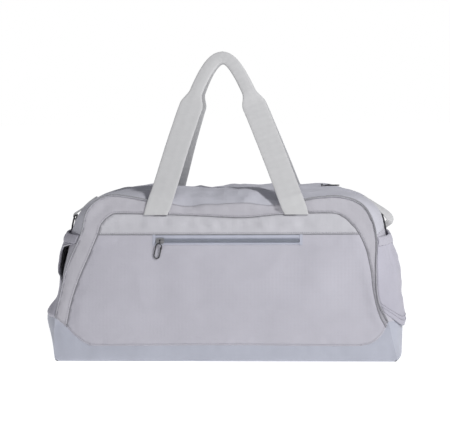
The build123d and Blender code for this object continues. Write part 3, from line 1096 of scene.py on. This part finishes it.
def make_side_pockets():
    for side, name, radius, look in ((1, "right", 0.45, THREAD), (-1, "left", 1.1, BAND)):
        make_pocket_cloth(side, name)
        for n, hem in enumerate(pocket_hems(side)):
            path = [pocket_surface(side, f, z * MM, 0.5 * MM) for f, z in hem]
            line = tube(f"{name}_pocket_hem_{n}", path, radius * MM, look)
            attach(line, "bag")
            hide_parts(f"{name}_side_pocket")


# ---- strap loops ----
LOOPS = {
    1: [(222, 250.5), (234, 243), (246, 233.5), (256, 225), (263, 218), (266, 213), (265, 208.5),
        (260, 205), (256, 202), (252, 200)],
    -1: [(218, 251), (230, 242.5), (241, 232.5), (250, 226), (255.5, 222), (256, 218), (253, 213.5),
         (250, 209), (250, 205), (251, 200)],
}
LOOP_TWIST = {1: radians(32), -1: radians(8)}


def loop_stations(side):
    """The loop's webbing from the shoulder seam, round its tip and back in to the end panel."""
    fine = polyline_mm(LOOPS[side], 6)
    stations = []
    for i, (x, z) in enumerate(fine):
        x0, z0 = fine[max(i - 1, 0)]
        x1, z1 = fine[min(i + 1, len(fine) - 1)]
        tangent = Vector((side * (x1 - x0), 0, z1 - z0)).normalized()
        side_out = Vector((0, 1, 0)).cross(tangent).normalized() * side
        twist = LOOP_TWIST[side] * smooth(0, 26, i)
        across = Vector((0, cos(twist), 0)) - side_out * sin(twist)
        out = across.cross(tangent).normalized() * side
        stations.append((Vector((side * x, 0, z)), across, out, 22 * MM, 2.0 * MM))
    return stations


def make_strap_loops():
    for side, name in SIDES:
        loop = ribbon(f"{name}_strap_webbing", loop_stations(side), WEBBING)
        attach(loop, "bag")
        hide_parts(f"{name}_strap_loop")


def make_rings():
    """Wire D-rings that hang down close to the bag from the loops."""
    bar, low = (252.5, 220.5), (258.5, 196.5)    # the straight bar's place and the ring's lowest point
    half, wire = 14.2, 1.5                       # half its width, and the wire's radius
    length = hypot(low[0] - bar[0], low[1] - bar[1])
    bow = [(half, 0), (half, (length - half) / 2)]
    bow += [(half * cos(pi * k / 16), length - half + half * sin(pi * k / 16)) for k in range(17)]
    bow += [(-half, (length - half) / 2), (-half, 0), (0, 0)]
    for side, name in SIDES:
        path = []
        for y, down in bow:
            f = down / length
            x, z = bar[0] + (low[0] - bar[0]) * f, bar[1] + (low[1] - bar[1]) * f
            path.append(Vector((side * x, y, z)) * MM)
        ring = tube(f"{name}_wire_ring", path, wire * MM, GUNMETAL, sides=12, closed=True)
        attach(ring, f"{name}_ring")
        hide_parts(f"{name}_d_ring")


def paint_cad():
    """Materials for the CAD pieces that stay visible."""
    looks = {
        "main_slider": ZINC, "pocket_slider": ZINC, "main_puller": GUNMETAL, "pocket_puller": GUNMETAL,
        "pocket_bag": LINING, "base_board": BOARD,
    }
    for name, mat in looks.items():
        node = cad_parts[name]
        node.data.materials.clear()
        node.data.materials.append(mat)


# ---- floor, light and camera ----
SKY = 0.23          # what the walls of the studio give
FLOOR_GLOW = 0.93   # a lit white floor


def make_floor():
    size = 30.0
    look, _, _, bsdf = material("floor", (0.35, 0.35, 0.35), 0.9)
    bsdf.inputs["Emission Color"].default_value = (1, 1, 1, 1)
    bsdf.inputs["Emission Strength"].default_value = FLOOR_GLOW
    corners = [(-size, -size, 0), (size, -size, 0), (size, size, 0), (-size, size, 0)]
    floor = new_object("floor", corners, [(0, 1, 2, 3)], look, shade=False)
    floor.location.z = -0.3 * MM


def make_sky():
    """White behind the bag, and a dimmer light from the studio's walls on it."""
    world = bpy.data.worlds.new("studio")
    bpy.context.scene.world = world
    world.use_nodes = True
    nodes, links = world.node_tree.nodes, world.node_tree.links
    white, dim = nodes["Background"], nodes.new("ShaderNodeBackground")
    white.inputs["Color"].default_value = (1, 1, 1, 1)
    white.inputs["Strength"].default_value = 1.0
    dim.inputs["Color"].default_value = (0.95, 0.96, 1.03, 1)
    dim.inputs["Strength"].default_value = SKY
    path, mix = nodes.new("ShaderNodeLightPath"), nodes.new("ShaderNodeMixShader")
    links.new(path.outputs["Is Camera Ray"], mix.inputs["Fac"])
    links.new(dim.outputs["Background"], mix.inputs[1])
    links.new(white.outputs["Background"], mix.inputs[2])
    links.new(mix.outputs["Shader"], nodes["World Output"].inputs["Surface"])
    bpy.context.scene.view_settings.view_transform = "Standard"


def area(name, place, aim, size, power):
    light = bpy.data.lights.new(name, "AREA")
    light.size = size
    light.energy = power
    obj = bpy.data.objects.new(name, light)
    bpy.context.scene.collection.objects.link(obj)
    obj.location = place
    obj.rotation_euler = (Vector(aim) - Vector(place)).to_track_quat("-Z", "Y").to_euler()


def make_lights():
    area("key", (1.15, -1.0, 1.55), (0, 0, 0.2), 0.25, 23)
    area("front_fill", (1.4, -2.2, 0.7), (0.05, 0, 0.15), 1.0, 3.5)


def make_camera():
    """A little to the right of the front and just above level, from far enough for a flat view."""
    azimuth, elevation, distance = radians(3), radians(4.5), 2.2
    aim = Vector((-0.005, 0, 0.2227))
    seen_width, roll = 0.742, radians(-0.45)
    camera = bpy.data.cameras.new("camera")
    camera.sensor_width = 36
    camera.lens = 36 * distance / seen_width
    obj = bpy.data.objects.new("camera", camera)
    bpy.context.scene.collection.objects.link(obj)
    away = Vector((sin(azimuth) * cos(elevation), -cos(azimuth) * cos(elevation), sin(elevation)))
    obj.location = aim + away * distance
    obj.rotation_euler = (-away).to_track_quat("-Z", "Y").to_euler()
    obj.rotation_euler.rotate_axis("Z", roll)
    bpy.context.scene.camera = obj


make_base(make_faces())
make_ends()
make_tops()
make_piping()
make_seam_lines()
make_stitches()
make_pocket_tapes()
make_pocket_coils()
make_pocket_tacks()
make_main_zip()
make_handles()
make_side_pockets()
make_strap_loops()
make_rings()
paint_cad()
make_floor()
make_sky()
make_lights()
make_camera()
